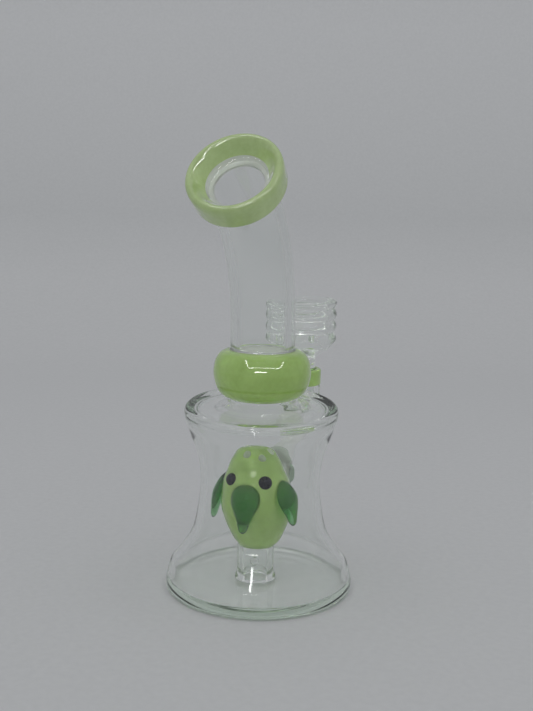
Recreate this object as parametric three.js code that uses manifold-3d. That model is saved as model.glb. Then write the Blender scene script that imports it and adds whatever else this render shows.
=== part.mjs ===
// A small glass water pipe with a bird-shaped diffuser inside its chamber and a
// lift-out ribbed bowl. Millimetres, +Z up. The origin is the centre of the base's
// underside, the bird and the mouthpiece face -Y, and the bowl's joint stands toward +Y.

import * as THREE from 'three';
import { mergeVertices } from 'three/addons/utils/BufferGeometryUtils.js';
import Module from 'manifold-3d';

const wasm = await Module();
wasm.setup();

// Driving dimensions.
const GAP = 0.3;               // left between pieces that are fused in the glass
const WALL = 3.2;              // chamber wall
const LARGE_SIDES = 36;        // facets round a large turned piece
const SMALL_SIDES = 20;        // facets round a small turned piece
const TUBE_SIDES = 16;         // facets round a bent tube

const FLOOR_RADIUS = 42.5;
const FLOOR_TOP = 4.2;
const WAIST_RADIUS = 27.1;
const SHOULDER_RADIUS = 34.6;
const SHOULDER_UNDERSIDE = 80.6;
const SHOULDER_TOP = 83.4;
const SHOULDER_RIM = 84.2;     // top of the rolled rim
const SHOULDER_LEAN = 2.6;     // how far the rim stands low in front and high behind
const LEAN_START = 66;         // height where the chamber starts to lean
const LEAN_TURN = THREE.MathUtils.degToRad(20);
const LEAN_INSIDE = 17.6;      // radius within which the shoulder stays level
const COLLAR_RADIUS = 16.6;
const COLLAR_BORE = 12.6;
const COLLAR_TOP = 87.7;
const DONUT_RADIUS = 21.8;
const DONUT_TOP = 109.5;

const NECK_RADIUS = 14.3;
const NECK_BORE = 10.6;
const NECK_STRAIGHT = 10.5;
const NECK_BEND_RADIUS = 75;
const NECK_BEND = THREE.MathUtils.degToRad(50);
const NECK_TAIL = 2;           // straight from the bend to the mouthpiece's back
const NECK_IN_RING = 3;        // how far the neck runs on into the mouthpiece's back
const NECK_FLARE = 8;          // length over which the bore opens toward the mouthpiece

const RING_RADIUS = 20.6;
const RING_LENGTH = 13;
const RING_RIDGE = 18.4;       // radius of the front ridge
const RING_OPENING = 13.1;
const RING_SEAT = 14.8;        // radius of the recess that takes the neck's end

const JOINT_Y = 56;            // axis of the bowl's joint
const JOINT_BOTTOM = 74.9;
const JOINT_LIP = 91.7;
const JOINT_RADIUS = 9.5;
const JOINT_MOUTH = 7.4;       // radius of the ground taper at the lip
const TAPER = 0.05;            // radius lost for each millimetre down the taper
const STEM_CLEARANCE = 0.35;

const ARM_RADIUS = 6.3;
const ARM_BORE = 4;
const ARM_BEND_RADIUS = 8;
const ARM_BEND = THREE.MathUtils.degToRad(51);
const WELD_WIDTH = 19.4;       // oval flare where the arm meets the chamber
const WELD_HEIGHT = 23.4;
const WELD_CENTRE = 47.5;
const INNER_STEM_RADIUS = 5;
const INNER_STEM_BORE = 3.2;

const BIRD_Y = -4.4;            // axis of the bird and its foot
const BIRD_BOTTOM = 20.8;
const BIRD_TOP = 67;
const BIRD_WALL = 2.3;
const CROWN_HOLES = 5;
const CROWN_HOLE_RADIUS = 1.8;
const CROWN_RING = 5.8;        // radius of the ring of crown holes
const CROWN_X = 1.2;           // centre of that ring
const CROWN_Y = -7;
const CROWN_TURN = THREE.MathUtils.degToRad(41);
const BIRD_LEAN = 0.035;       // sideways lean of the bird's body for each unit up
const BIRD_LEVEL = 43;         // height that the lean turns about
const FACE_TURN = THREE.MathUtils.degToRad(2);
const EYE_RADIUS = 3.1;
const EYE_REACH = 12.9;        // from the bird's axis to an eye's centre
const EYE_HEIGHT = 53.3;
const EYE_ANGLE = THREE.MathUtils.degToRad(34.3);
const BEAK_REACH = 12.8;
const BEAK_HEIGHT = 52.6;
const BEAK_LENGTH = 22;
const BEAK_TILT = THREE.MathUtils.degToRad(14);
const WING_REACH = 14.2;
const WING_TILT = THREE.MathUtils.degToRad(17);
const FOOT_RADIUS = 8.3;
const FOOT_BORE = 5.6;
const FOOT_HOLE_RADIUS = 1.8;
const FOOT_HOLE_HEIGHT = 14.5;
const FOOT_HOLE_ANGLE = THREE.MathUtils.degToRad(17);

const BOWL_TOP = 126.2;
const BOWL_BOTTOM = 97.9;
const BOWL_RADIUS = 15.4;      // between the ribs
const RIB_HEIGHT = 1.5;
const RIB_PITCH = 5.9;
const FIRST_RIB = 104.4;       // height where the lowest rib starts
const BOWL_CAVITY = 12.5;
const BOWL_HOLE = 3;
const STEM_BORE = 3.6;

// Materials: one object for each sub-part, so that each can be recoloured alone.
function glass(color, opacity) {
  return new THREE.MeshStandardMaterial({
    color, roughness: 0.04, metalness: 0, transparent: opacity < 1, opacity,
  });
}
const clearGlass = () => glass(0xdfe6e4, 0.3);
const limeGlass = () => glass(0x9cc85e, 1);
const limeTint = () => glass(0xa4c870, 0.75);
const greenGlass = () => glass(0x2c6e3c, 0.9);
const blackGlass = () => glass(0x14171c, 1);

const v2 = (x, y) => new THREE.Vector2(x, y);
const v3 = (x, y, z) => new THREE.Vector3(x, y, z);

// A body of revolution about Z from [radius, height] pairs, listed counter-clockwise.
function turned(profile, sides) {
  const points = profile.map(([radius, height]) => v2(radius, height));
  return new THREE.LatheGeometry(points, sides).rotateX(Math.PI / 2);
}

// The same for a ring, whose profile closes on itself.
function turnedRing(profile, sides) {
  return turned([...profile, profile[0]], sides);
}

// Points of a smooth outline through [radius, height] pairs.
function smooth(pairs, divisions) {
  const curve = new THREE.SplineCurve(pairs.map(([radius, height]) => v2(radius, height)));
  return curve.getSpacedPoints(divisions).map((point) => [point.x, point.y]);
}

// The outline moved sideways by a distance: positive is toward the axis going up.
function offset(outline, distance) {
  return outline.map(([radius, height], i) => {
    const before = outline[Math.max(i - 1, 0)];
    const after = outline[Math.min(i + 1, outline.length - 1)];
    const run = v2(after[0] - before[0], after[1] - before[1]).normalize();
    return [radius - run.y * distance, height + run.x * distance];
  });
}

function solidOf(geometry) {
  const bare = geometry.clone();
  bare.deleteAttribute('normal');
  bare.deleteAttribute('uv');
  const merged = mergeVertices(bare);
  const index = merged.index.array;
  const kept = [];
  for (let i = 0; i < index.length; i += 3) {
    const [a, b, c] = [index[i], index[i + 1], index[i + 2]];
    if (a !== b && b !== c && c !== a) kept.push(a, b, c);
  }
  return new wasm.Manifold(new wasm.Mesh({
    numProp: 3,
    vertProperties: merged.attributes.position.array,
    triVerts: new Uint32Array(kept),
  }));
}

function geometryOf(solid) {
  const mesh = solid.getMesh();
  const geometry = new THREE.BufferGeometry();
  geometry.setAttribute('position', new THREE.BufferAttribute(mesh.vertProperties, 3));
  geometry.setIndex(new THREE.BufferAttribute(mesh.triVerts, 1));
  geometry.computeVertexNormals();
  return geometry;
}

function piece(name, geometry, material) {
  const mesh = new THREE.Mesh(geometry, material);
  mesh.name = name;
  return mesh;
}

// A path in the plane x = 0: straight, one bend, straight. A heading of 0 points up and
// turns toward -Y as it grows.
class BentPath extends THREE.Curve {
  constructor({ y, z, heading, lead, radius, turn, tail }) {
    super();
    Object.assign(this, { y, z, heading, lead, tail, turn });
    this.signedRadius = Math.sign(turn) * radius;
    this.bendLength = radius * Math.abs(turn);
    this.total = lead + this.bendLength + tail;
  }

  getPoint(t, target = v3(0, 0, 0)) {
    const s = t * this.total;
    const first = Math.min(s, this.lead);
    const bent = THREE.MathUtils.clamp(s - this.lead, 0, this.bendLength);
    const last = Math.max(s - this.lead - this.bendLength, 0);
    const angle = this.heading + bent / this.signedRadius;
    const y = this.y - first * Math.sin(this.heading)
      + this.signedRadius * (Math.cos(angle) - Math.cos(this.heading)) - last * Math.sin(angle);
    const z = this.z + first * Math.cos(this.heading)
      + this.signedRadius * (Math.sin(angle) - Math.sin(this.heading)) + last * Math.cos(angle);
    return target.set(0, y, z);
  }
}

// A rod along a path, or a tube where a bore is given.
function along(path, radius, bore, steps) {
  const section = new THREE.Shape();
  section.absarc(0, 0, radius, 0, 2 * Math.PI, false);
  if (bore > 0) {
    const hole = new THREE.Path();
    hole.absarc(0, 0, bore, 0, 2 * Math.PI, true);
    section.holes.push(hole);
  }
  return new THREE.ExtrudeGeometry(section, {
    steps, curveSegments: TUBE_SIDES / 2, bevelEnabled: false, extrudePath: path,
  });
}

// Chamber outline from the floor up to the shoulder.
const chamberOutline = smooth([
  [42.3, FLOOR_TOP + GAP], [40.6, 11], [36.8, 16], [31, 25.4], [28.4, 36],
  [WAIST_RADIUS, 48], [28.3, 60.5], [31.8, 71.5], [34.3, SHOULDER_UNDERSIDE - GAP],
], 12);

// Tips the rim: vertices far from the axis sink on the front side and rise on the back.
function leaned(geometry) {
  const position = geometry.attributes.position;
  for (let i = 0; i < position.count; i += 1) {
    const [x, y, z] = [position.getX(i), position.getY(i), position.getZ(i)];
    const reach = Math.hypot(x, y);
    const outward = Math.max((reach - LEAN_INSIDE) / (SHOULDER_RADIUS - LEAN_INSIDE), 0);
    const upward = THREE.MathUtils.smoothstep(z, LEAN_START, SHOULDER_UNDERSIDE - GAP);
    const back = (y * Math.cos(LEAN_TURN) - x * Math.sin(LEAN_TURN)) / Math.max(reach, 1);
    position.setZ(i, z + SHOULDER_LEAN * outward * upward * back);
  }
  return geometry;
}

// The chamber's whole outer body, moved outward by a margin, for trimming the arm.
function chamberBody(margin) {
  const outline = offset(chamberOutline, -margin);
  const bottom = outline[0];
  const top = outline[outline.length - 1];
  return solidOf(turned([[0, bottom[1]], ...outline, [0, top[1]]], LARGE_SIDES));
}

// Bird outline from its open bottom to the crown, as heights above the ground.
const birdOutline = [
  ...smooth([
    [8, BIRD_BOTTOM], [10.8, 24.3], [14.3, 32.3], [15.8, 40.5], [14.6, 50.9],
    [12.8, 55.9], [10.9, 61], [8.3, 64.2], [4.8, 66.2],
  ], 11),
  [0, BIRD_TOP],
];

// Puts a body on the bird's axis, which leans a little toward its own left.
function onBirdAxis(body) {
  const [x, y] = [-BIRD_LEAN * Math.cos(LEAN_TURN), -BIRD_LEAN * Math.sin(LEAN_TURN)];
  const shear = new THREE.Matrix4().set(
    1, 0, x, -x * BIRD_LEVEL, 0, 1, y, BIRD_Y - y * BIRD_LEVEL, 0, 0, 1, 0, 0, 0, 0, 1);
  return solidOf(body.applyMatrix4(shear));
}

function birdBody(margin) {
  const outline = offset(birdOutline, -margin);
  outline[outline.length - 1] = [0, BIRD_TOP + margin];
  return onBirdAxis(turned([[0, outline[0][1]], ...outline], LARGE_SIDES));
}

// The line that the arm follows into the chamber, from the foot of the joint.
const armPath = new BentPath({
  y: JOINT_Y, z: JOINT_BOTTOM - GAP, heading: Math.PI, lead: 0.4,
  radius: ARM_BEND_RADIUS, turn: -ARM_BEND, tail: 34,
});
const innerPath = new BentPath({
  y: JOINT_Y, z: JOINT_BOTTOM - GAP, heading: Math.PI, lead: 0.4,
  radius: ARM_BEND_RADIUS, turn: -ARM_BEND, tail: 52,
});

function floorDisc() {
  const profile = [
    [0, 0], [40.4, 0], [41.8, 0.9], [FLOOR_RADIUS, 2.6], [FLOOR_RADIUS, FLOOR_TOP],
    [0, FLOOR_TOP],
  ];
  return piece('floor_disc', turned(profile, LARGE_SIDES), clearGlass());
}

function chamberWall() {
  const inside = offset(chamberOutline, WALL);
  inside[0][1] = chamberOutline[0][1];
  inside[inside.length - 1][1] = chamberOutline[chamberOutline.length - 1][1];
  const section = [...chamberOutline, ...inside.reverse()];
  const wall = solidOf(leaned(turnedRing(section, LARGE_SIDES)));
  const inlet = solidOf(along(innerPath, ARM_BORE, 0, 16));
  return piece('chamber_wall', geometryOf(wall.subtract(inlet)), clearGlass());
}

function shoulderPlate() {
  const rim = smooth([
    [33.4, SHOULDER_UNDERSIDE], [SHOULDER_RADIUS, 81.9], [33.8, SHOULDER_RIM - 0.5],
    [32.6, SHOULDER_RIM], [30.8, SHOULDER_TOP + 0.4], [29.4, SHOULDER_TOP],
  ], 8);
  const profile = [
    [COLLAR_BORE, SHOULDER_UNDERSIDE], [LEAN_INSIDE, SHOULDER_UNDERSIDE], ...rim,
    [LEAN_INSIDE, SHOULDER_TOP], [COLLAR_BORE, SHOULDER_TOP],
  ];
  return piece('shoulder_plate', leaned(turnedRing(profile, LARGE_SIDES)), clearGlass());
}

function neckCollar() {
  const bottom = SHOULDER_TOP + GAP;
  const profile = [
    [COLLAR_BORE, bottom], [COLLAR_RADIUS + 0.8, bottom], [COLLAR_RADIUS, bottom + 1.2],
    [COLLAR_RADIUS, COLLAR_TOP], [COLLAR_BORE, COLLAR_TOP],
  ];
  return piece('neck_collar', turnedRing(profile, LARGE_SIDES), clearGlass());
}

function donutRing() {
  const bulge = smooth([
    [15.8, COLLAR_TOP + GAP], [20.3, 92.8], [DONUT_RADIUS, 99.6], [21, 104.8],
    [18.8, 108], [14.9, DONUT_TOP],
  ], 10);
  const bore = [[NECK_BORE, DONUT_TOP], [NECK_BORE, COLLAR_TOP + GAP]];
  return piece('donut_ring', turnedRing([...bulge, ...bore], LARGE_SIDES), limeGlass());
}

const neckPath = (tail) => new BentPath({
  y: 0, z: DONUT_TOP + GAP, heading: 0, lead: NECK_STRAIGHT,
  radius: NECK_BEND_RADIUS, turn: NECK_BEND, tail,
});

// Moves a body from the mouthpiece's own axis to its place at the neck's end.
function atMouthpiece(geometry) {
  const end = neckPath(NECK_TAIL).getPoint(1);
  return geometry.rotateX(NECK_BEND).translate(end.x, end.y, end.z);
}

function neckTube() {
  const tube = solidOf(along(neckPath(NECK_TAIL + NECK_IN_RING), NECK_RADIUS, NECK_BORE, 16));
  const mouth = turned([
    [0, NECK_IN_RING - NECK_FLARE], [NECK_BORE - 0.1, NECK_IN_RING - NECK_FLARE],
    [NECK_BORE + 1, NECK_IN_RING - 3], [RING_OPENING, NECK_IN_RING],
    [RING_OPENING, NECK_IN_RING + 1], [0, NECK_IN_RING + 1],
  ], LARGE_SIDES);
  return piece('neck_tube', geometryOf(tube.subtract(solidOf(atMouthpiece(mouth)))),
    clearGlass());
}

// The flared ring at the neck's end, from back to front, with a recess for the neck.
function mouthpieceRing() {
  const outside = smooth([
    [18.2, 0], [RING_RADIUS - 0.4, 1.5], [RING_RADIUS - 0.2, 5.5], [RING_RADIUS, 10.5],
    [20.1, 12.3], [RING_RIDGE, RING_LENGTH], [17.2, 12.2], [14.9, 8.8], [RING_OPENING, 6.6],
  ], 14);
  const seat = NECK_IN_RING + GAP;
  const profile = [[RING_OPENING, seat], [RING_SEAT, seat], [RING_SEAT, 2.6], ...outside];
  return piece('mouthpiece_ring', atMouthpiece(turnedRing(profile, LARGE_SIDES)), limeTint());
}

// Radius of the ground taper inside the joint at a height.
const taperRadius = (height) => JOINT_MOUTH - TAPER * (JOINT_LIP - height);

function jointTube() {
  const top = 83.5;
  const profile = [
    [ARM_BORE, JOINT_BOTTOM], [6.6, JOINT_BOTTOM], [8.6, 76.1], [JOINT_RADIUS, 78.4],
    [JOINT_RADIUS, top], [taperRadius(top), top], [taperRadius(77.6), 77.6],
    [ARM_BORE, 76.7],
  ];
  const tube = piece('joint_tube', turnedRing(profile, SMALL_SIDES), clearGlass());
  tube.position.y = JOINT_Y;
  return tube;
}

function jointCollar() {
  const bottom = 83.8;
  const profile = [
    [taperRadius(bottom), bottom], [9.4, bottom], [9.9, 84.5], [9.9, 90.7], [9.3, JOINT_LIP],
    [JOINT_MOUTH, JOINT_LIP],
  ];
  const collar = piece('joint_collar', turnedRing(profile, SMALL_SIDES), limeGlass());
  collar.position.y = JOINT_Y;
  return collar;
}

// The arm from the joint down to the chamber, with an oval flare at the wall.
function inletArm() {
  const half = WELD_WIDTH / 2;
  const flare = turned([[0, 0], [half, 0], [half - 0.3, 1.4], [half - 1.6, 2.6],
    [half - 2.8, 4.6], [0, 5.6]], SMALL_SIDES);
  flare.rotateX(-Math.PI / 2).scale(1, 1, WELD_HEIGHT / WELD_WIDTH);
  flare.translate(0, WAIST_RADIUS - 2, WELD_CENTRE);
  const arm = solidOf(along(armPath, ARM_RADIUS, 0, 10)).add(solidOf(flare))
    .subtract(solidOf(along(innerPath, ARM_BORE, 0, 16)))
    .subtract(chamberBody(GAP));
  return piece('inlet_arm', geometryOf(arm), clearGlass());
}

// The part of that line inside the chamber, down into the bird's back.
function inletStem() {
  const room = offset(chamberOutline, WALL + GAP);
  const inside = turned([[0, room[0][1]], ...room, [0, room[room.length - 1][1]]], LARGE_SIDES);
  const stem = solidOf(along(innerPath, INNER_STEM_RADIUS, INNER_STEM_BORE, 16))
    .intersect(solidOf(inside)).subtract(birdBody(GAP));
  return piece('inlet_stem', geometryOf(stem), clearGlass());
}

// An upright drill through the crown, at an angle from -Y toward +X.
function crownDrill(angle) {
  const [low, high] = [58, BIRD_TOP + 2];
  const rod = turned([
    [0, low], [CROWN_HOLE_RADIUS, low], [CROWN_HOLE_RADIUS, high], [0, high]], 16);
  const [x, y] = [CROWN_RING * Math.sin(angle), -CROWN_RING * Math.cos(angle)];
  rod.translate(CROWN_X + x, CROWN_Y + y, 0);
  return solidOf(rod);
}

function birdShell() {
  const hollow = offset(birdOutline, BIRD_WALL);
  hollow[0] = [FOOT_BORE, BIRD_BOTTOM - 1];
  hollow[1][0] = Math.max(hollow[1][0], FOOT_BORE);
  hollow[hollow.length - 1] = [0, BIRD_TOP - BIRD_WALL];
  const cavity = turned([[0, BIRD_BOTTOM - 1], ...hollow], SMALL_SIDES);
  let shell = birdBody(0).subtract(onBirdAxis(cavity))
    .subtract(solidOf(along(innerPath, INNER_STEM_BORE, 0, 16))
      .intersect(solidOf(new THREE.BoxGeometry(20, 20, 40).translate(0, BIRD_Y + 14, 40))));
  for (let i = 0; i < CROWN_HOLES; i += 1) {
    shell = shell.subtract(crownDrill(CROWN_TURN + (2 * Math.PI * i) / CROWN_HOLES));
  }
  return piece('bird_shell', geometryOf(shell), limeGlass());
}

// A drop of glass hanging from its round end, widest near the top, with a blunt tip.
function drop(width, depth, length, sides) {
  const outline = [
    [0, 0], [0.55, -0.06], [0.86, -0.14], [1, -0.26], [0.94, -0.38], [0.72, -0.54],
    [0.47, -0.72], [0.3, -0.88], [0.24, -0.96], [0, -1],
  ];
  const body = turned(outline.map(([r, h]) => [r, h * length]).reverse(), sides);
  return body.scale(width / 2, depth / 2, 1);
}

function birdBeak() {
  const beak = drop(12.7, 10.4, BEAK_LENGTH, SMALL_SIDES);
  beak.rotateX(-BEAK_TILT).translate(0, -BEAK_REACH, BEAK_HEIGHT);
  beak.rotateZ(FACE_TURN).translate(0, BIRD_Y, 0);
  return piece('bird_beak', geometryOf(solidOf(beak).subtract(birdBody(GAP))), greenGlass());
}

// side is -1 for the bird's piece toward -X and 1 for the piece toward +X.
function birdEye(name, side) {
  const eye = new THREE.SphereGeometry(EYE_RADIUS, 16, 10).scale(1, 0.85, 1);
  eye.translate(0, -EYE_REACH, 0).rotateZ(FACE_TURN + side * EYE_ANGLE);
  eye.translate(0, BIRD_Y, EYE_HEIGHT);
  return piece(name, geometryOf(solidOf(eye).subtract(birdBody(GAP))), blackGlass());
}

// A wing of a length, its root at a height, turned forward from the bird's side.
function wing(name, side, height, length, forward) {
  const blade = drop(5, 12, length, SMALL_SIDES);
  blade.rotateY(-side * WING_TILT).translate(side * WING_REACH, 0, height);
  blade.rotateZ(-side * THREE.MathUtils.degToRad(forward)).translate(0, BIRD_Y, 0);
  return piece(name, geometryOf(solidOf(blade).subtract(birdBody(GAP))), greenGlass());
}

// The bird's foot: a tube that flares where it stands on the floor, with one hole.
function birdFoot() {
  const bottom = FLOOR_TOP + GAP;
  const top = BIRD_BOTTOM - GAP;
  const profile = [
    [FOOT_BORE, bottom], [9, bottom], [8.7, 5.6], [FOOT_RADIUS, 7.4],
    [FOOT_RADIUS, top], [FOOT_BORE, top],
  ];
  const tube = turnedRing(profile, SMALL_SIDES).translate(0, BIRD_Y, 0);
  const hole = new THREE.CylinderGeometry(FOOT_HOLE_RADIUS, FOOT_HOLE_RADIUS, 12, 16);
  hole.translate(0, -6, 0).rotateZ(FOOT_HOLE_ANGLE).translate(0, BIRD_Y, FOOT_HOLE_HEIGHT);
  return piece('bird_foot', geometryOf(solidOf(tube).subtract(solidOf(hole))), clearGlass());
}

// The bowl's male stem: a hollow ground taper with a short neck above the joint.
function bowlStem() {
  const bottom = JOINT_BOTTOM + 3.4;
  const outer = (height) => taperRadius(height) - STEM_CLEARANCE;
  const top = BOWL_BOTTOM - GAP;
  const profile = [
    [STEM_BORE, bottom], [outer(bottom), bottom], [outer(JOINT_LIP), JOINT_LIP],
    [6.7, JOINT_LIP + 2], [7.1, top], [STEM_BORE, top],
  ];
  const stem = piece('bowl_stem', turnedRing(profile, SMALL_SIDES), clearGlass());
  stem.position.y = JOINT_Y;
  return stem;
}

// The bowl: a thick cup with rounded ribs, narrowing to the stem below.
function bowlCup() {
  const ribs = [];
  for (let height = FIRST_RIB; height < BOWL_TOP - 0.5; height += RIB_PITCH / 4) {
    const swell = Math.abs(Math.sin((Math.PI * (height - FIRST_RIB)) / RIB_PITCH));
    ribs.push([BOWL_RADIUS + RIB_HEIGHT * swell, height]);
  }
  const profile = [
    [BOWL_HOLE, BOWL_BOTTOM], [7.2, BOWL_BOTTOM], [9.8, 99.8], [13.8, 102.4],
    ...ribs, [BOWL_RADIUS - 0.2, BOWL_TOP], [BOWL_CAVITY + 0.8, BOWL_TOP],
    [BOWL_CAVITY, BOWL_TOP - 0.8], [BOWL_CAVITY, 109], [11.2, 106], [8, 103.6],
    [BOWL_HOLE, 102],
  ];
  const cup = piece('bowl_cup', turnedRing(profile, 32), clearGlass());
  cup.position.y = JOINT_Y;
  return cup;
}

const vessel = new THREE.Group();
vessel.add(floorDisc(), chamberWall(), shoulderPlate(), neckCollar(), donutRing());
vessel.add(neckTube(), mouthpieceRing(), jointTube(), jointCollar(), inletArm(), inletStem());

const bird = new THREE.Group();
bird.add(birdShell(), birdBeak(), birdFoot());
bird.add(birdEye('bird_eye_left', -1), birdEye('bird_eye_right', 1));
bird.add(wing('wing_left', -1, 52.4, 22, 2), wing('wing_right', 1, 52.2, 19, 17));

const bowl = new THREE.Group();
bowl.add(bowlStem(), bowlCup());

const group = new THREE.Group();
group.add(vessel, bird, bowl);

export default group;
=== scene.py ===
"""A small glass water pipe with a bird-shaped diffuser, on a pale sweep under soft light.

Everything is in the part's frame: metres, +Z up, the bird and the mouthpiece face -Y.
Profiles are written in millimetres as (radius, height) and turned round an upright axis.
"""
import math

import bpy
from mathutils import Matrix, Vector

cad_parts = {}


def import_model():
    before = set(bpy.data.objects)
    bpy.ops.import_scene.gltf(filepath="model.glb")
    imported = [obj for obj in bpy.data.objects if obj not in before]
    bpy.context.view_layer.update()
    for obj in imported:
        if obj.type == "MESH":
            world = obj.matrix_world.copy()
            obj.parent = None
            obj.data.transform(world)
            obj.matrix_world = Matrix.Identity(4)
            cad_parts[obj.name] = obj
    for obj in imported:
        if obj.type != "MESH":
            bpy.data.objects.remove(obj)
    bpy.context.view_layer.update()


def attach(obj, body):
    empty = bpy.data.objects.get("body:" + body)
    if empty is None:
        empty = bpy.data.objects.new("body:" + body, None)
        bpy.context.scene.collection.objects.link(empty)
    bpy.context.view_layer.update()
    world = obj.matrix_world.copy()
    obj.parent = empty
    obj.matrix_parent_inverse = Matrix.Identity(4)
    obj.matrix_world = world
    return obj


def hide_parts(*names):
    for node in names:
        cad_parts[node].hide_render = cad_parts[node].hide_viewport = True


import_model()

MM = 0.001

# Driving dimensions, in millimetres.
WALL = 3.2                     # chamber wall
FLOOR_TOP = 4.2
CHAMBER_TOP = 79.3             # where the chamber meets the rolled rim
SHOULDER_RADIUS = 34.6
SHOULDER_LEAN = 2.6            # how far the rim stands low in front and high behind
LEAN_START = 66.0              # height where the chamber starts to lean
LEAN_INSIDE = 17.6             # radius within which the shoulder stays level
LEAN_TURN = math.radians(20)
COLLAR_TOP = 88.6
DONUT_FOOT = 87.9
DONUT_TOP = 109.5

NECK_BORE = 10.6
NECK_RADIUS = 14.3
NECK_FOOT = 108.9
NECK_STRAIGHT = 11.4
NECK_BEND_RADIUS = 75.0
NECK_BEND = math.radians(50)
NECK_TAIL = 2.0                # straight from the bend to the mouthpiece's back
NECK_IN_RING = 6.0             # how far the neck runs on into the mouthpiece

JOINT_Y = 56.0                 # axis of the bowl's joint
JOINT_LIP = 91.7
JOINT_MOUTH = 7.4              # radius of the ground taper at the lip
JOINT_COLLAR = 83.8            # underside of the lime lip
TAPER = 0.05                   # radius lost for each millimetre down the taper
ARM_TOP = 74.6
ARM_RADIUS = 6.3
ARM_BORE = 4.0
ARM_BEND_RADIUS = 8.0
ARM_BEND = math.radians(51)
INNER_STEM_RADIUS = 5.0        # of the arm's last stretch, inside the chamber
INNER_STEM_BORE = 3.2

BIRD_Y = -4.4                  # axis of the bird and its foot
BIRD_BOTTOM = 20.8
BIRD_TOP = 67.0
BIRD_WALL = 2.3
BIRD_LEAN = 0.035              # sideways lean for each unit up
BIRD_LEVEL = 43.0              # height that the lean turns about
FACE_TURN = math.radians(2)
EYE_REACH = 13.0
EYE_HEIGHT = 53.3
EYE_ANGLE = math.radians(34.3)
EYE_RADII = (3.05, 2.7, 3.15)
SUNK = -0.25                   # how far eyes, beak and wings reach into the shell
CROWN_HOLES = 5
CROWN_HOLE = 1.75
CROWN_RING = 5.8
CROWN_CENTRE = (1.2, -7.0)
CROWN_TURN = math.radians(41)
FOOT_BORE = 5.6
FOOT_HOLE = 1.8
FOOT_HOLE_HEIGHT = 14.5
FOOT_HOLE_TURN = math.radians(17)

STEM_BORE = 3.6
STEM_CLEARANCE = 0.4
BOWL_TOP = 126.2
BOWL_RADIUS = 15.4             # between the ribs
RIB_HEIGHT = 1.5
RIB_PITCH = 5.9
FIRST_RIB = 104.4

# The view and the lights, in metres.
VIEW_TURN = math.radians(20)   # how far round from the front the camera stands
VIEW_PITCH = math.radians(9.79)
VIEW_ROLL = math.radians(1.08)
VIEW_DISTANCE = 0.4505
VIEW_SIDE = 0.0018
VIEW_HEIGHT = 0.1844
LENS = 52.0
SKY_STRENGTH = 0.525
OVERHEAD_POWER = 0.95
STRIP_RADIANCE = 20.0


# ---------------------------------------------------------------- outlines

def spline(points, per_span=8):
    """A smooth line through points of any dimension, with per_span steps a span."""
    points = [Vector(p) for p in points]
    ends = [points[0] * 2 - points[1], *points, points[-1] * 2 - points[-2]]
    out = []
    for i in range(len(points) - 1):
        a, b, c, d = ends[i:i + 4]
        for k in range(per_span):
            t = k / per_span
            out.append((b * 2 + (c - a) * t + (a * 2 - b * 5 + c * 4 - d) * t ** 2
                        + (b * 3 - a - c * 3 + d) * t ** 3) / 2)
    out.append(points[-1])
    return [tuple(p) for p in out]


def offset(outline, distance):
    """The outline moved sideways: positive is toward the axis going up."""
    out = []
    for i, (r, z) in enumerate(outline):
        a = outline[max(i - 1, 0)]
        b = outline[min(i + 1, len(outline) - 1)]
        run = Vector((b[0] - a[0], b[1] - a[1])).normalized()
        out.append((r - run.y * distance, z + run.x * distance))
    return out


def rounded(corners, steps=5):
    """A polyline of (r, z, fillet radius) corners with each corner rounded off."""
    out = []
    for i, (r, z, fillet) in enumerate(corners):
        here = Vector((r, z))
        if fillet <= 0 or i in (0, len(corners) - 1):
            out.append((r, z))
            continue
        back = Vector(corners[i - 1][:2]) - here
        on = Vector(corners[i + 1][:2]) - here
        angle = back.angle(on)
        cut = min(fillet / math.tan(angle / 2), back.length * 0.49, on.length * 0.49)
        a, b = here + back.normalized() * cut, here + on.normalized() * cut
        for k in range(steps + 1):
            t = k / steps
            p = a * (1 - t) ** 2 + here * 2 * t * (1 - t) + b * t ** 2
            out.append((p.x, p.y))
    return out


# ---------------------------------------------------------------- meshes

def mesh_object(name, verts, faces, materials=(), face_material=None):
    """An object in the scene from points in millimetres."""
    mesh = bpy.data.meshes.new(name)
    mesh.from_pydata([Vector(v) * MM for v in verts], [], faces)
    mesh.validate()
    for material in materials:
        mesh.materials.append(material)
    if face_material is not None:
        mesh.polygons.foreach_set("material_index", face_material)
    finish_mesh(mesh)
    obj = bpy.data.objects.new(name, mesh)
    bpy.context.scene.collection.objects.link(obj)
    return obj


def finish_mesh(mesh, smooth_angle=40):
    """Smooth shading, with edges sharper than the angle in degrees left crisp."""
    mesh.shade_smooth()
    mesh.set_sharp_from_angle(angle=math.radians(smooth_angle))
    mesh.update()


def turned(profile, sides, centre=(0, 0, 0), closed=False, marks=None):
    """Verts, faces and material numbers of a profile turned about an upright axis.

    Faces look right of the profile's run. An open profile starts and ends on the axis. A
    closed one is a ring's section, or runs up outside and back down inside a hollow.
    """
    verts, rows = [], []
    for r, z in profile:
        if r < 1e-6:
            rows.append([len(verts)])
            verts.append(Vector((0, 0, z)) + Vector(centre))
            continue
        rows.append(list(range(len(verts), len(verts) + sides)))
        for k in range(sides):
            a = 2 * math.pi * k / sides
            verts.append(Vector((r * math.cos(a), r * math.sin(a), z)) + Vector(centre))
    faces, material = [], []
    following = rows[1:] + rows[:1] if closed else rows[1:]
    for index, (low, high) in enumerate(zip(rows, following)):
        if len(low) == len(high) == 1:
            continue
        for k in range(sides):
            m = (k + 1) % sides
            if len(low) == 1:
                face = (low[0], high[m], high[k])
            elif len(high) == 1:
                face = (low[k], low[m], high[0])
            else:
                face = (low[k], low[m], high[m], high[k])
            faces.append(face)
            material.append(marks[index] if marks else 0)
    return verts, faces, material


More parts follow.
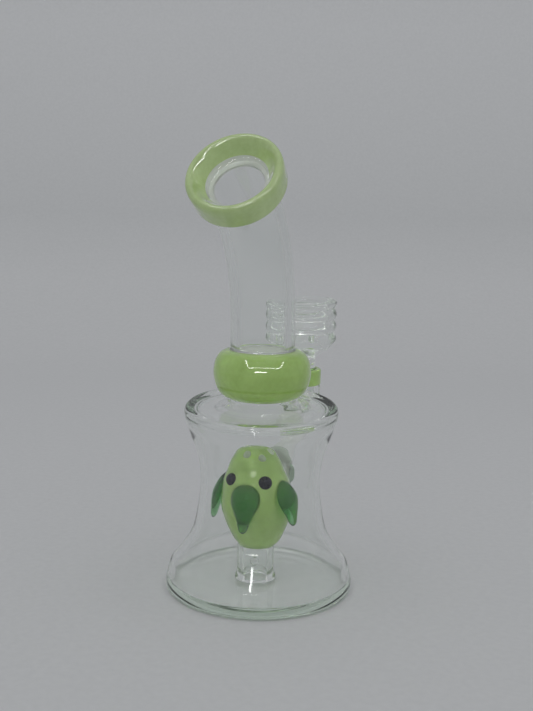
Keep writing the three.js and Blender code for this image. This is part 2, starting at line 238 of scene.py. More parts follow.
def swept(stations, sides):
    """A closed solid through stations of (centre, side, up), each an ellipse's half axes."""
    verts, faces = [], []
    for centre, side, up in stations:
        for k in range(sides):
            a = 2 * math.pi * k / sides
            verts.append(Vector(centre) + Vector(side) * math.cos(a) + Vector(up) * math.sin(a))
    for i in range(len(stations) - 1):
        for k in range(sides):
            m = (k + 1) % sides
            low, high = i * sides, (i + 1) * sides
            faces.append((low + k, low + m, high + m, high + k))
    for i, turn in ((0, -1), (len(stations) - 1, 1)):
        hub = len(verts)
        verts.append(Vector(stations[i][0]))
        for k in range(sides):
            m = (k + 1) % sides
            a, b = i * sides + k, i * sides + m
            faces.append((a, b, hub) if turn > 0 else (b, a, hub))
    return verts, faces


def bent_path(y, z, heading, lead, radius, turn, tail, steps):
    """Points and directions in the plane x = 0: straight, one bend, straight."""
    out = []
    length = radius * abs(turn)
    signed = math.copysign(radius, turn)
    total = lead + length + tail
    for i in range(steps + 1):
        s = total * i / steps
        first, last = min(s, lead), max(s - lead - length, 0)
        angle = heading + min(max(s - lead, 0), length) / signed
        py = y - first * math.sin(heading) + signed * (math.cos(angle) - math.cos(heading)) \
            - last * math.sin(angle)
        pz = z + first * math.cos(heading) + signed * (math.sin(angle) - math.sin(heading)) \
            + last * math.cos(angle)
        out.append((s, Vector((0, py, pz)), Vector((0, -math.sin(angle), math.cos(angle)))))
    return out


def tube_solid(path, radius_at, sides):
    """A solid rod along a bent path, its radius a function of the distance along."""
    stations = []
    for s, point, heading in path:
        r = radius_at(s)
        side = Vector((1, 0, 0))
        stations.append((point, side * r, heading.cross(side) * r))
    return swept(stations, sides)


def combine(target, other, operation):
    """Joins other into target, or cuts it out, and removes it. Material numbers are kept."""
    modifier = target.modifiers.new("combine", "BOOLEAN")
    modifier.operation = operation
    modifier.solver = "MANIFOLD"
    modifier.object = other
    bpy.context.view_layer.update()
    made = bpy.data.meshes.new_from_object(
        target.evaluated_get(bpy.context.evaluated_depsgraph_get()))
    target.modifiers.clear()
    target.data = made
    bpy.data.objects.remove(other)


def stand_for(obj, body, slot, *nodes):
    """Puts a piece on its body, in the place of CAD nodes."""
    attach(obj, body)
    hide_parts(*nodes)


def axes_at(place, x, y, z):
    """A matrix with these axes and this origin."""
    matrix = Matrix((x, y, z)).transposed().to_4x4()
    matrix.translation = place
    return matrix


# ---------------------------------------------------------------- materials

class Nodes:
    """A material's node tree, with short calls to add and link nodes. Scales are per metre."""

    def __init__(self, name):
        self.material = bpy.data.materials.new(name)
        self.material.use_nodes = True
        self.tree = self.material.node_tree
        self.tree.nodes.clear()
        self.output = self.tree.nodes.new("ShaderNodeOutputMaterial")

    def add(self, kind, **inputs):
        node = self.tree.nodes.new("ShaderNode" + kind)
        for key, value in inputs.items():
            if hasattr(node, key) and key not in node.inputs:
                setattr(node, key, value)
                continue
            socket = node.inputs[key.replace("_", " ")]
            self.set(socket, value)
        return node

    def set(self, socket, value):
        if isinstance(value, bpy.types.NodeSocket):
            self.tree.links.new(value, socket)
        else:
            socket.default_value = value

    def noise(self, scale, detail=2.0, roughness=0.5, distortion=0.0):
        place = self.add("TexCoord").outputs["Object"]
        return self.add("TexNoise", Vector=place, Scale=scale, Detail=detail,
                        Roughness=roughness, Distortion=distortion).outputs["Fac"]

    def ramp(self, fac, stops):
        node = self.add("ValToRGB", Fac=fac)
        elements = node.color_ramp.elements
        while len(elements) < len(stops):
            elements.new(0.5)
        for element, (place, colour) in zip(elements, stops):
            element.position = place
            element.color = (*colour, 1)
        return node.outputs["Color"]

    def between(self, fac, low, high):
        node = self.add("MapRange", Value=fac)
        node.inputs["To Min"].default_value = low
        node.inputs["To Max"].default_value = high
        return node.outputs["Result"]

    def bump(self, height, distance):
        return self.add("Bump", Height=height, Distance=distance,
                        Strength=1.0).outputs["Normal"]

    def absorb(self, density, colour):
        volume = self.add("VolumeAbsorption", Density=density)
        volume.inputs["Color"].default_value = (*colour, 1)
        self.set(self.output.inputs["Volume"], volume.outputs["Volume"])

    def surface(self, shader):
        self.set(self.output.inputs["Surface"], shader.outputs["BSDF"])
        return self.material


def clear_glass(name, tint=(0.985, 0.995, 0.99), ripple=0.000012, scale=40.0, rough=0.0,
                clear=1.0):
    """Hand-worked borosilicate: faintly uneven, with slow ripples in its surface."""
    n = Nodes(name)
    wave = n.noise(scale, detail=1.5, distortion=0.4)
    streak = n.noise(scale * 4, detail=3)
    shader = n.add(
        "BsdfPrincipled", IOR=1.47,
        Roughness=n.between(streak, rough, rough + 0.012),
        Normal=n.bump(wave, ripple))
    n.set(shader.inputs["Base Color"], n.ramp(streak, [(0.3, tint), (0.7, (1, 1, 1))]))
    n.set(shader.inputs["Transmission Weight"], clear)
    n.absorb(12.0, (0.80, 0.93, 0.80))
    return n.surface(shader)


def coloured_glass(name, dark, light, scatter=0.35, coat=0.6, painted_glow=0.0):
    """Opaque or milky glass: uneven pigment, light scattered just under a clear gloss, and an
    optional painted glow, which is emission as painted light.
    """
    n = Nodes(name)
    cloud = n.noise(45.0, detail=4, roughness=0.6, distortion=0.8)
    speck = n.noise(540.0, detail=2)
    mixed = n.add("Math", operation="MULTIPLY_ADD")
    n.set(mixed.inputs[0], speck)
    n.set(mixed.inputs[1], 0.25)
    n.set(mixed.inputs[2], n.between(cloud, -0.1, 0.85))
    colour = n.ramp(mixed.outputs[0], [(0.25, dark), (0.7, light)])
    shader = n.add("BsdfPrincipled", IOR=1.48, Roughness=n.between(speck, 0.03, 0.08),
                   Normal=n.bump(cloud, 0.00008))
    # Emission is painted light: the pigment's own colour glows at the painted glow's strength.
    for socket, value in (("Base Color", colour), ("Subsurface Weight", scatter),
                          ("Subsurface Scale", 0.004), ("Coat Weight", coat),
                          ("Coat Roughness", 0.02), ("Emission Color", colour),
                          ("Emission Strength", painted_glow)):
        n.set(shader.inputs[socket], value)
    shader.inputs["Subsurface Radius"].default_value = (0.8, 1.0, 0.45)
    return n.surface(shader)


def dyed_glass(name, dark, light, body, density):
    """See-through coloured glass, darker where it is thicker."""
    n = Nodes(name)
    cloud = n.noise(70.0, detail=3, distortion=1.0)
    shader = n.add("BsdfPrincipled", IOR=1.5, Roughness=n.between(cloud, 0.02, 0.08),
                   Normal=n.bump(cloud, 0.00012))
    n.set(shader.inputs["Base Color"], n.ramp(cloud, [(0.35, dark), (0.7, light)]))
    n.set(shader.inputs["Transmission Weight"], 1.0)
    n.absorb(density, body)
    return n.surface(shader)


def eye_glass():
    """Nearly black glass with a fine grain."""
    n = Nodes("eye_glass")
    cells = n.add("TexVoronoi", Scale=900.0, Vector=n.add("TexCoord").outputs["Object"])
    colour = n.ramp(cells.outputs["Distance"],
                    [(0.1, (0.001, 0.002, 0.005)), (0.6, (0.012, 0.013, 0.022))])
    shader = n.add("BsdfPrincipled", Roughness=0.12, IOR=1.3)
    n.set(shader.inputs["Base Color"], colour)
    n.set(shader.inputs["Normal"], n.bump(cells.outputs["Distance"], 0.00006))
    return n.surface(shader)


def paper():
    """Pale paper with a fine grain, a little darker low on the backdrop than high up: painted
    shade low and painted light high.
    """
    n = Nodes("paper")
    grain = n.noise(300, detail=4)
    pale = n.ramp(grain, [(0.3, (0.70, 0.705, 0.715)), (0.7, (0.73, 0.735, 0.745))])
    place = n.add("SeparateXYZ", Vector=n.add("TexCoord").outputs["Object"])
    height = n.add("MapRange", Value=place.outputs["Z"])
    height.inputs["From Max"].default_value = 0.5
    # Painted shade and light by height, from a little darker low to brighter than the paper
    # high up.
    shade = n.ramp(height.outputs["Result"], [
        (0.0, (0.98, 0.98, 0.98)), (0.14, (0.97, 0.97, 0.97)), (0.28, (0.90, 0.905, 0.905)),
        (0.75, (1.06, 1.06, 1.06))])
    mixed = n.add("VectorMath", operation="MULTIPLY")
    n.set(mixed.inputs[0], pale)
    n.set(mixed.inputs[1], shade)
    shader = n.add("BsdfPrincipled", Roughness=0.7)
    n.set(shader.inputs["Base Color"], mixed.outputs[0])
    shader.inputs["Specular IOR Level"].default_value = 0.2
    return n.surface(shader)


CLEAR = clear_glass("clear_glass")
BOWL_CLEAR = clear_glass("bowl_glass", ripple=0.00012, scale=160.0)
# Rough, part-milky glass for the weld; its milky white is painted light, standing in for light
# seen through the clear weld.
MILKY_PAINTED_LIGHT = clear_glass("milky_painted_light_glass", rough=0.10, ripple=0.0001, scale=120.0, clear=0.55)
GROUND = clear_glass("ground_glass", tint=(0.93, 0.95, 0.94), rough=0.32, ripple=0.00002,
                     scale=900.0)
LIME = coloured_glass("lime_glass", (0.35, 0.54, 0.125), (0.48, 0.71, 0.21))
BIRD_LIME = coloured_glass("bird_lime_glass", (0.28, 0.44, 0.10), (0.39, 0.59, 0.165))
# Pale, glowing lime for the bird's inside and crown hole walls: painted light.
LIME_PAINTED_LIGHT = coloured_glass("lime_painted_light_glass", (0.52, 0.60, 0.46), (0.62, 0.68, 0.56),
                             scatter=0.0, painted_glow=0.10)
# Pale, glowing glass for hidden faces in the donut and mouthpiece: painted light where they
# would stand dark.
PALE_PAINTED_LIGHT = coloured_glass("pale_painted_light_glass", (0.60, 0.63, 0.58), (0.70, 0.72, 0.68), scatter=0.0,
                      painted_glow=0.05)
LIME_TINT = coloured_glass("lime_tint_glass", (0.40, 0.55, 0.20), (0.56, 0.72, 0.33),
                           scatter=0.0, coat=1.0)
GREEN = dyed_glass("green_glass", (0.648, 0.776, 0.64), (0.824, 0.888, 0.82),
                   (0.02, 0.66, 0.03), 290.0)
EYE = eye_glass()


# ---------------------------------------------------------------- the vessel

CHAMBER = spline([
    (42.3, 4.5), (40.6, 11), (36.8, 16), (31, 25.4), (28.4, 36), (27.1, 48),
    (28.3, 60.5), (31.8, 71.5), (34.3, CHAMBER_TOP)], 10)


def taper_radius(height):
    """Radius of the ground taper inside the joint at a height."""
    return JOINT_MOUTH - TAPER * (JOINT_LIP - height)


def leaned(verts):
    """Tips the rim: points far from the axis sink on the front side and rise on the back."""
    out = []
    for v in verts:
        reach = math.hypot(v.x, v.y)
        outward = max((reach - LEAN_INSIDE) / (SHOULDER_RADIUS - LEAN_INSIDE), 0)
        t = min(max((v.z - LEAN_START) / (CHAMBER_TOP - LEAN_START), 0), 1)
        back = (v.y * math.cos(LEAN_TURN) - v.x * math.sin(LEAN_TURN)) / max(reach, 1)
        rise = SHOULDER_LEAN * outward * t * t * (3 - 2 * t) * back
        out.append(v + Vector((0, 0, rise)))
    return out


def chamber_solid():
    """Base, chamber, rolled rim and collar as one turned solid, without its room."""
    base = rounded([(0, 0, 0), (39.8, 0, 1), (42.4, 0.6, 2.4), (42.5, 4.0, 1.5)], 6)
    rim = spline([(34.45, 80.8), (34.55, 82.0), (34.1, 83.3), (33.2, 84.0), (32.0, 84.1),
                  (30.0, 83.8), (26.0, 83.5), (22.0, 83.8), (18.8, 85.0), (16.7, 87.0),
                  (15.9, 88.5)], 6)
    outer = [*base, *CHAMBER[1:], *rim, (15.2, COLLAR_TOP), (0, COLLAR_TOP)]
    verts, faces, _ = turned(outer, 160)
    return mesh_object("vessel_glass", leaned(verts), faces, materials=[CLEAR, MILKY_PAINTED_LIGHT])


def chamber_room():
    """The space inside the chamber, which opens up through the collar."""
    inside = offset(CHAMBER, WALL)[3:-14]      # the ends are left to the floor and roof
    room = rounded([(0, FLOOR_TOP, 0), (39.3, FLOOR_TOP, 1.2), (*inside[0], 0)], 5)
    roof = spline([inside[-1], (29.9, 75.4), (30.6, 78.4), (30.2, 80.4), (28.4, 81.4),
                   (25.5, 81.5)], 6)
    throat = spline([(22.0, 81.6), (18.8, 82.4), (15.8, 84.2), (13.6, 86.6),
                     (12.9, COLLAR_TOP)], 6)
    profile = [*room, *inside[1:-1], *roof, *throat, (12.9, 90), (0, 90)]
    verts, faces, _ = turned(profile, 160)
    return mesh_object("room", leaned(verts), faces)


def arm_radius(s):
    """The arm's outer radius along its line: it narrows to the stem inside the chamber."""
    return ARM_RADIUS if s < 34 else max(INNER_STEM_RADIUS, ARM_RADIUS - (s - 34) * 0.35)


def arm_bore(s):
    return ARM_BORE if s < 36 else max(INNER_STEM_BORE, ARM_BORE - (s - 36) * 0.2)


def arm_rod(name, tail, radius_at, sides):
    """A rod from the joint down the arm, through the wall and on by its tail."""
    line = bent_path(JOINT_Y, ARM_TOP, math.pi, 0.4, ARM_BEND_RADIUS, -ARM_BEND, tail, 60)
    return mesh_object(name, *tube_solid(line, radius_at, sides))


def weld_flare():
    """The oval weld where the arm meets the chamber, spread widest on the wall."""
    stations = []
    for k in range(29):
        y = 23.0 + k * 0.4
        spread = math.exp(-max(y - 25.6, 0) / 1.5)
        centre = (0, y, 46.9 + (y - 27) * 0.81 * (1 - spread) + 0.6 * spread)
        stations.append((centre, (6.0 + 3.7 * spread, 0, 0), (0, 0, -(7.6 + 4.1 * spread))))
    verts, faces = swept(stations, 64)
    # Every face takes the rough, milky weld glass, whose white is painted light.
    return mesh_object("flare", verts, faces, [CLEAR, MILKY_PAINTED_LIGHT], [1] * len(faces))


def joint_solid():
    """The clear socket under the lime lip, still without its taper."""
    socket = rounded([(0, 74.3, 0), (6.3, 74.3, 0.3), (6.8, 75.3, 1), (9.5, 78.6, 2),
                      (9.5, 84.6, 0.1), (0, 84.6, 0)], 5)
    return mesh_object("socket", *turned(socket, 64, (0, JOINT_Y, 0))[:2])


def joint_taper():
    """The ground taper inside the socket."""
    ground = [(0, 76.0), (ARM_BORE, 76.0), (taper_radius(77.6), 77.6), (taper_radius(85), 85),
              (0, 85)]
    return mesh_object("ground", *turned(ground, 64, (0, JOINT_Y, 0))[:2])


def vessel_glass():
    """Floor, chamber, shoulder, collar, arm, joint and inner stem, fused in one glass."""
    body = chamber_solid()
    combine(body, chamber_room(), "DIFFERENCE")
    arm = arm_rod("arm", 52, arm_radius, 48)
    combine(arm, bird_cutter(0.2), "DIFFERENCE")
    combine(body, arm, "UNION")
    combine(body, weld_flare(), "UNION")
    combine(body, joint_solid(), "UNION")
    combine(body, arm_rod("bore", 54, arm_bore, 40), "DIFFERENCE")
    combine(body, joint_taper(), "DIFFERENCE")
    finish_mesh(body.data, 38)
    stand_for(body, "vessel", "clear_glass", "floor_disc", "chamber_wall", "shoulder_plate",
              "neck_collar", "inlet_arm", "inlet_stem", "joint_tube")
    return body


def donut_ring():
    """The lime ring, with the faces hidden round the neck and under it painted pale and
    glowing, as painted light.
    """
    bulge = spline([(15.6, DONUT_FOOT), (18.6, 89.9), (20.6, 93.2), (21.7, 97.6),
                    (21.75, 101.2), (20.9, 104.9), (19.0, 107.8), (16.6, 109.1),
                    (14.4, DONUT_TOP)], 6)
    ring = [(NECK_BORE, DONUT_FOOT), *bulge, (NECK_BORE, DONUT_TOP)]
    marks = [1, *[0] * (len(ring) - 3), 1, 1]
    verts, faces, material = turned(ring, 128, closed=True, marks=marks)
    obj = mesh_object("donut_ring", verts, faces, [LIME, PALE_PAINTED_LIGHT], material)
    stand_for(obj, "vessel", "lime_glass", "donut_ring")
    return obj


def neck_line(tail, steps):
    return bent_path(0, NECK_FOOT, 0, NECK_STRAIGHT, NECK_BEND_RADIUS, NECK_BEND, tail, steps)


def finer_ends(path, first, last, steps):
    """The path with each span of its first and last stretch cut into steps."""
    length = path[-1][0]
    out = [path[0]]
    for a, b in zip(path, path[1:]):
        count = steps if b[0] < first or b[0] > length - last else 1
        for k in range(1, count + 1):
            t = k / count
            out.append((a[0] + (b[0] - a[0]) * t, a[1].lerp(b[1], t),
                        a[2].lerp(b[2], t).normalized()))
    return out


def hollow_tube(path, outer, bore, sides):
    """A tube along a path, closed at both ends by flat rings."""
    verts = []
    for radius_at in (outer, bore):
        for s, point, heading in path:
            side = Vector((1, 0, 0))
            up = heading.cross(side)
            r = radius_at(s)
            for k in range(sides):
                a = 2 * math.pi * k / sides
                verts.append(point + side * r * math.cos(a) + up * r * math.sin(a))
    rows, faces = len(path), []
    for k in range(sides):
        m = (k + 1) % sides
        for i in range(rows - 1):
            low, high = i * sides, (i + 1) * sides
            faces.append((low + k, low + m, high + m, high + k))
            low, high = low + rows * sides, high + rows * sides
            faces.append((low + m, low + k, high + k, high + m))
        inner = rows * sides
        faces.append((k, inner + k, inner + m, m))
        top = (rows - 1) * sides
        faces.append((top + m, inner + top + m, inner + top + k, top + k))
    return verts, faces


def neck_tube():
    """The bent tube: a soft weld at its foot, a bore that opens into the mouthpiece."""
    path = neck_line(NECK_TAIL + NECK_IN_RING, 72)
    length = path[-1][0]

    def outer(s):
        foot = 0.5 * math.exp(-max(s - 0.6, 0) / 0.9)
        narrow = min(max((s - length + 3.4) / 0.6, 0), 1)
        return NECK_RADIUS + foot - narrow

    def bore(s):
        t = min(max((s - length + 3.5) / 3.5, 0), 1)
        return NECK_BORE + 2.25 * t * t

    verts, faces = hollow_tube(finer_ends(path, 8, 10, 5), outer, bore, 96)
    obj = mesh_object("neck_tube", verts, faces, materials=[CLEAR])
    stand_for(obj, "vessel", "clear_glass", "neck_tube")
    return obj


def mouthpiece_ring():
    """The flared ring at the neck's end, turned on its own axis from back to front."""
    outside = spline([
        (14.4, 2.9), (16.2, 1.3), (18.3, 0.25), (20.0, 1.9), (20.35, 5.5), (20.6, 9.6),
        (20.3, 11.8), (19.2, 12.9), (18.0, 12.75), (16.6, 11.3), (14.7, 8.6), (13.3, 6.7)], 6)
    seat = [(13.1, 5.6), (13.1, 3.6), (11.2, 3.3), (11.2, 2.4), (14.3, 2.4)]
    ring = [*seat, *outside]
    # The seat's faces, hidden in the neck's end, take the pale glowing glass: painted light.
    marks = [1, 1, 1, 1, *[0] * (len(ring) - 5), 1]
    verts, faces, material = turned(ring, 128, closed=True, marks=marks)
    place = Matrix.Translation(neck_line(NECK_TAIL, 1)[-1][1]) \
        @ Matrix.Rotation(NECK_BEND, 4, "X")
    obj = mesh_object("mouthpiece_ring", [place @ v for v in verts], faces,
                      [LIME_TINT, PALE_PAINTED_LIGHT], material)
    stand_for(obj, "vessel", "lime_tint_glass", "mouthpiece_ring")
    return obj


def joint_collar():
    """The lime lip of the joint, with its rim rounded and its bore tapered."""
    rim = rounded([
        (8.4, JOINT_COLLAR, 0), (9.9, JOINT_COLLAR, 0.8), (9.95, 91.6, 1.0),
        (JOINT_MOUTH + 0.3, JOINT_LIP, 0.4), (taper_radius(90.9), 90.9, 0)], 5)
    ring = [(taper_radius(JOINT_COLLAR), JOINT_COLLAR), *rim]
    obj = mesh_object("joint_collar", *turned(ring, 64, (0, JOINT_Y, 0), closed=True)[:2],
                      materials=[LIME])
    stand_for(obj, "vessel", "lime_glass", "joint_collar")
    return obj


# ---------------------------------------------------------------- the bird

def bird_outline(margin=0.0):
    """The bird's profile from its foot up to its crown, moved out by a margin."""
    outline = spline([
        (8.0, BIRD_BOTTOM), (10.8, 24.3), (14.3, 32.3), (15.8, 40.5), (14.6, 50.9),
        (12.8, 55.9), (10.9, 61), (8.3, 64.2), (4.8, 66.2), (0.001, BIRD_TOP)], 7)
    moved = offset(outline, -margin)
    return [(0, moved[0][1]), *moved[:-1], (0, BIRD_TOP + margin)]


def tipped(verts):
    """Leans the bird's body a little to one side."""
    across = Vector((math.cos(LEAN_TURN), math.sin(LEAN_TURN), 0))
    return [v - across * (BIRD_LEAN * (v.z - BIRD_LEVEL)) for v in verts]


def bird_cutter(margin):
    """The bird's outer form as a solid, grown by a margin."""
    verts, faces, _ = turned(bird_outline(margin), 96, (0, BIRD_Y, 0))
    return mesh_object("cut", tipped(verts), faces)


def crown_holes():
    """Places of the small holes through the bird's crown, each square to the surface."""
    outline = bird_outline()[1:-1]
    places = []
    for hole in range(CROWN_HOLES):
        a = CROWN_TURN + 2 * math.pi * hole / CROWN_HOLES
        x = CROWN_CENTRE[0] + CROWN_RING * math.sin(a)
        y = CROWN_CENTRE[1] - CROWN_RING * math.cos(a) - BIRD_Y
        reach = math.hypot(x, y)
        i = next(k for k in range(len(outline) - 1, 0, -1) if outline[k][0] > reach)
        run = Vector(outline[i]) - Vector(outline[i + 1])
        slope = math.atan2(-run.y, run.x)
        away = Matrix.Rotation(math.atan2(y, x), 4, "Z")
        places.append(Matrix.Translation((x, y + BIRD_Y, outline[i][1])) @ away
                      @ Matrix.Rotation(slope, 4, "Y"))
    return places


def drill_crown(obj):
    """Cuts the crown holes, and gives their walls the inside's pale glowing glass, painted
    light that makes the holes look bright.
    """
    drills = crown_holes()
    for place in drills:
        rod, rod_faces, _ = turned([(0, -6), (CROWN_HOLE, -6), (CROWN_HOLE, 4), (0, 4)], 32)
        combine(obj, mesh_object("hole", [place @ v for v in rod], rod_faces), "DIFFERENCE")
    for face in obj.data.polygons:
        for place in drills:
            near = place.inverted() @ (face.center / MM)
            if math.hypot(near.x, near.y) < CROWN_HOLE + 0.02 and near.z > -6:
                face.material_index = 1


def bird_shell():
    """The hollow body: lime outside, open into its foot, and painted paler and glowing inside,
    as painted light.
    """
    outline = bird_outline()[1:-1]
    hollow = [p for p in offset(outline, BIRD_WALL) if p[0] > 0.5]
    # Near its foot the hollow is never narrower than the foot's bore.
    hollow = [(max(r, FOOT_BORE), z) for r, z in hollow[:8]] + hollow[8:]
    hollow[0] = (FOOT_BORE, BIRD_BOTTOM)
    profile = [*outline, (0, BIRD_TOP), (0, BIRD_TOP - BIRD_WALL), *reversed(hollow)]
    marks = [0] * (len(outline) + 1) + [1] * len(hollow) + [0]
    verts, faces, material = turned(profile, 96, (0, BIRD_Y, 0), closed=True, marks=marks)
    obj = mesh_object("bird_shell", tipped(verts), faces, [BIRD_LIME, LIME_PAINTED_LIGHT], material)
    drill_crown(obj)
    finish_mesh(obj.data, 40)
    stand_for(obj, "vessel", "lime_glass", "bird_shell")


def drop(name, line, widths, depths, side):
    """A drop of green glass along a smooth line, from its root on the bird to its tip."""
    points = [Vector(p) for p in spline(line, 8)]
    sizes = spline(list(zip(widths, depths)), 8)
    stations = []
    for i, (point, (w, d)) in enumerate(zip(points, sizes)):
        run = (points[min(i + 1, len(points) - 1)] - points[max(i - 1, 0)]).normalized()
        across = (side - run * side.dot(run)).normalized()
        out = run.cross(across)
        stations.append((point, across * max(w, 0.05) / 2, out * max(d, 0.05) / 2))
    verts, faces = swept(stations, 40)
    obj = mesh_object(name, verts, faces, materials=[GREEN])
    combine(obj, bird_cutter(SUNK), "DIFFERENCE")
    finish_mesh(obj.data, 50)
    stand_for(obj, "vessel", "green_glass", name)


def bird_beak():
    turn = Matrix.Rotation(FACE_TURN, 4, "Z")
    reach = [12.6, 12.9, 13.3, 14.2, 15.1, 16.0, 17.0, 17.7, 17.9]
    heights = [52.9, 51.6, 49.6, 46.6, 43.4, 39.8, 35.8, 32.6, 31.2]
    line = [turn @ Vector((0, -r, z)) + Vector((0, BIRD_Y, 0)) for r, z in zip(reach, heights)]
    widths = [1.5, 7.2, 11.2, 12.7, 12.0, 9.0, 5.6, 3.6, 1.2]
    depths = [1.5, 5.6, 8.6, 10.2, 10.0, 8.0, 5.0, 3.4, 1.2]
    drop("bird_beak", line, widths, depths, Vector((1, 0, 0)))


def wing(name, side, height, length, forward):
    """A wing from its root's height, turned some degrees toward the face."""
    turn = Matrix.Rotation(-side * math.radians(forward), 4, "Z")
    size = length / 22
    outward = [0, 1.0, 2.4, 4.0, 5.4, 6.6, 7.4, 7.7]
    rises = [1.2, -0.6, -3.6, -7.6, -11.8, -16, -19.8, -21.4]
    line = []
    for out, rise in zip(outward, rises):
        point = Vector((side * (13.4 + out * size), 0, height + rise * size))
        line.append(turn @ point + Vector((0, BIRD_Y, 0)))
    widths = [2.0, 6.4, 10.2, 12.2, 10.2, 6.4, 3.6, 1.4]
    depths = [1.2, 3.4, 4.8, 5.4, 4.8, 3.8, 3.0, 1.2]
    drop(name, line, widths, depths, turn @ Vector((0, 1, 0)))


def bird_eye(name, side):
    a = side * EYE_ANGLE + FACE_TURN
    centre = Vector((EYE_REACH * math.sin(a), BIRD_Y - EYE_REACH * math.cos(a), EYE_HEIGHT))
    arc = [math.pi * (k / 20 - 0.5) for k in range(1, 20)]
    verts, faces, _ = turned([(0, -1), *[(math.cos(t), math.sin(t)) for t in arc], (0, 1)], 40)
    place = Matrix.Translation(centre) @ Matrix.Rotation(a, 4, "Z") \
        @ Matrix.Diagonal((*EYE_RADII, 1))
    obj = mesh_object(name, [place @ v for v in verts], faces, materials=[EYE])
    combine(obj, bird_cutter(SUNK), "DIFFERENCE")
    finish_mesh(obj.data, 50)
    stand_for(obj, "vessel", "black_glass", name)


def bird_foot():
    """The clear tube that the bird stands on, with a small hole in its front."""
    ring = [(FOOT_BORE, 4.26), *rounded([(8.6, 4.26, 0), (9.3, 4.3, 0.3), (9.1, 5.6, 1.2),
            (8.2, 7.6, 2), (8.2, 21.4, 0.2), (FOOT_BORE, 21.4, 0)], 6)]
    obj = mesh_object("bird_foot", *turned(ring, 80, (0, BIRD_Y, 0), closed=True)[:2],
                      materials=[CLEAR])
    verts, faces, _ = turned([(0, -14), (FOOT_HOLE, -14), (FOOT_HOLE, 0), (0, 0)], 32)
    place = Matrix.Translation((0, BIRD_Y, FOOT_HOLE_HEIGHT)) \
        @ Matrix.Rotation(FOOT_HOLE_TURN, 4, "Z") @ Matrix.Rotation(math.radians(-90), 4, "X")
    combine(obj, mesh_object("hole", [place @ v for v in verts], faces), "DIFFERENCE")
    finish_mesh(obj.data, 38)
    stand_for(obj, "vessel", "clear_glass", "bird_foot")


# ---------------------------------------------------------------- the bowl

def bowl_stem():
    """The ground male taper, from its open end up to the cup's foot."""
    low, high = 78.3, 92.4
    ring = [(STEM_BORE, low), (taper_radius(low) - STEM_CLEARANCE, low),
            (taper_radius(high) - STEM_CLEARANCE, high - 0.1), (STEM_BORE, high - 0.1)]
    obj = mesh_object("bowl_stem", *turned(ring, 64, (0, JOINT_Y, 0), closed=True)[:2],
                      materials=[GROUND])
    stand_for(obj, "stem", "clear_glass", "bowl_stem")


def bowl_cup():
    """The thick ribbed cup, running down to the top of its ground stem."""
    lip_foot, rib_step = 125.5, 0.36
    ribs = []
    for k in range(int((lip_foot - FIRST_RIB) / rib_step) + 1):
        rise = k * rib_step
        swell = abs(math.sin(math.pi * rise / RIB_PITCH))
        ribs.append((BOWL_RADIUS + RIB_HEIGHT * swell ** 0.8, FIRST_RIB + rise))
    outside = [*spline([(6.9, 92.5), (6.6, 94), (6.9, 97.4), (9.0, 99.6), (12.8, 101.8),
                        (15.1, 104.0)], 5), *ribs]
    inside = spline([(12.6, 125.4), (12.4, 118), (12.4, 110), (11.2, 106), (8, 103.4),
                     (4.4, 101.6), (3.4, 99.5), (3.4, 92.5)], 5)
    lip = rounded([(15.9, lip_foot, 0), (15.6, BOWL_TOP, 0.8), (12.7, BOWL_TOP, 0.8),
                   (12.6, 125.4, 0)], 5)
    ring = [*outside, *lip[1:-1], *inside]
    obj = mesh_object("bowl_cup", *turned(ring, 96, (0, JOINT_Y, 0), closed=True)[:2],
                      materials=[BOWL_CLEAR])
    stand_for(obj, "bowl", "clear_glass", "bowl_cup")
    return obj


# ---------------------------------------------------------------- the stage

def camera():
    right = Vector((math.cos(VIEW_TURN), math.sin(VIEW_TURN), 0))
    level = Vector((-math.sin(VIEW_TURN), math.cos(VIEW_TURN), 0))
    place = right * VIEW_SIDE - level * VIEW_DISTANCE + Vector((0, 0, VIEW_HEIGHT))
    look = level * math.cos(VIEW_PITCH) - Vector((0, 0, 1)) * math.sin(VIEW_PITCH)
    up = right.cross(look)
    tilted = right * math.cos(VIEW_ROLL) + up * math.sin(VIEW_ROLL)
    raised = up * math.cos(VIEW_ROLL) - right * math.sin(VIEW_ROLL)
    data = bpy.data.cameras.new("camera")
    data.lens = LENS
    data.sensor_width = 36.0
    data.clip_start = 0.01
    obj = bpy.data.objects.new("camera", data)
    obj.matrix_world = axes_at(place, tilted, raised, -look)
    bpy.context.scene.collection.objects.link(obj)
    bpy.context.scene.camera = obj


def area_light(name, width, height, power, place):
    data = bpy.data.lights.new(name, "AREA")
    data.shape = "RECTANGLE"
    data.size, data.size_y = width, height
    data.energy = power
    obj = bpy.data.objects.new(name, data)
    obj.matrix_world = place
    bpy.context.scene.collection.objects.link(obj)
    return obj


def strip_light(name, a, b, width, radiance, receivers):
    """A thin light from a to b that faces the object and reaches only its receivers."""
    turn = Matrix.Rotation(VIEW_TURN, 4, "Z")
    a, b = turn @ Vector(a), turn @ Vector(b)
    length = (b - a).length
    middle = (a + b) / 2
    along = (b - a).normalized()
    toward = Vector((0, 0, 0.08)) - middle
    back = (along * toward.dot(along) - toward).normalized()
    obj = area_light(name, length, width, radiance * math.pi * length * width,
                     axes_at(middle, along, back.cross(along), back))
    obj.visible_diffuse = False
    obj.light_linking.receiver_collection = receivers


def collection_of(name, pieces):
    group = bpy.data.collections.new(name)
    for piece in pieces:
        group.objects.link(piece)
    return group


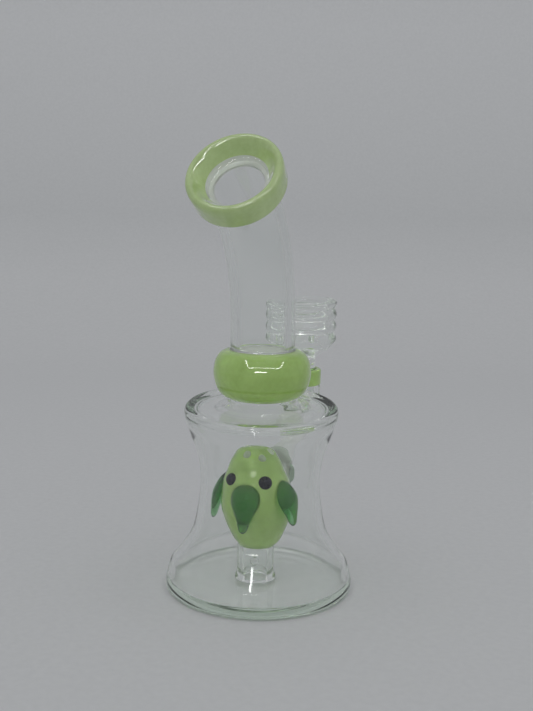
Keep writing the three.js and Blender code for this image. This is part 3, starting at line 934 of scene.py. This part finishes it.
def strip_lights(outside, chamber):
    """Thin lights above the front, seen as glints.

    Four reach only the pieces outside the chamber: one across, two that run back, and a low
    bar. Two reach only the chamber's glass, so that the bird inside it has its glints too.
    """
    left, right = (-0.235, -0.35, 0.325), (0.335, -0.35, 0.325)
    left_top, right_top = (-0.235, -0.08, 0.55), (0.335, -0.08, 0.55)
    bar_left, bar_right = (-0.15, -0.48, 0.215), (0.10, -0.48, 0.215)
    group = collection_of("lit_by_strips", outside)
    for name, a, b, width in (("front_strip", left, right, 0.012),
                              ("left_strip", left, left_top, 0.010),
                              ("right_strip", right, right_top, 0.010),
                              ("low_bar", bar_left, bar_right, 0.020)):
        strip_light(name, a, b, width, STRIP_RADIANCE, group)
    within = collection_of("lit_within", [chamber])
    for name, a, b, width, share in (
            ("bird_strip", (-0.065, -0.36, 0.345), (-0.075, -0.125, 0.56), 0.018, 0.7),
            ("bird_bar", (-0.18, -0.48, 0.256), (0.0, -0.48, 0.256), 0.010, 1.3)):
        strip_light(name, a, b, width, STRIP_RADIANCE * share, within)


def sweep():
    """A seamless pale floor that curves up into a backdrop behind the object."""
    half_width, front, bend_start, bend_radius, top = 2500, -1800, 500, 400, 2600
    sunk = 0.1                 # keeps the floor clear of the base's underside
    turn = Matrix.Rotation(VIEW_TURN, 4, "Z")
    line = [(front, -sunk), (bend_start, -sunk)]
    for k in range(1, 25):
        a = math.radians(90 * k / 24)
        line.append((bend_start + bend_radius * math.sin(a),
                     bend_radius * (1 - math.cos(a)) - sunk))
    line.append((bend_start + bend_radius, top))
    verts = [turn @ Vector((x, y, z)) for y, z in line for x in (-half_width, half_width)]
    faces = [(2 * i, 2 * i + 1, 2 * i + 3, 2 * i + 2) for i in range(len(line) - 1)]
    obj = mesh_object("sweep", verts, faces, materials=[paper()])


def world():
    """An even pale sky, and enough bounces for light to find its way out of thick glass."""
    scene = bpy.context.scene
    scene.world = bpy.data.worlds.new("world")
    scene.world.use_nodes = True
    background = scene.world.node_tree.nodes["Background"]
    background.inputs["Color"].default_value = (0.97, 0.985, 1.0, 1)
    background.inputs["Strength"].default_value = SKY_STRENGTH
    scene.view_settings.view_transform = "Standard"
    scene.cycles.max_bounces = 32
    scene.cycles.transmission_bounces = 32
    scene.cycles.glossy_bounces = 12
    scene.cycles.blur_glossy = 0.0


camera()
world()
sweep()
area_light("overhead", 1.2, 1.2, OVERHEAD_POWER, Matrix.Translation((0, 0, 1.1)))

vessel = vessel_glass()
outside = [donut_ring(), neck_tube(), mouthpiece_ring(), joint_collar(), bowl_cup()]
bird_shell()
bird_beak()
bird_foot()
bird_eye("bird_eye_left", -1)
bird_eye("bird_eye_right", 1)
wing("wing_left", -1, height=52.4, length=22, forward=2)
wing("wing_right", 1, height=52.2, length=19, forward=17)
bowl_stem()
strip_lights(outside, vessel)
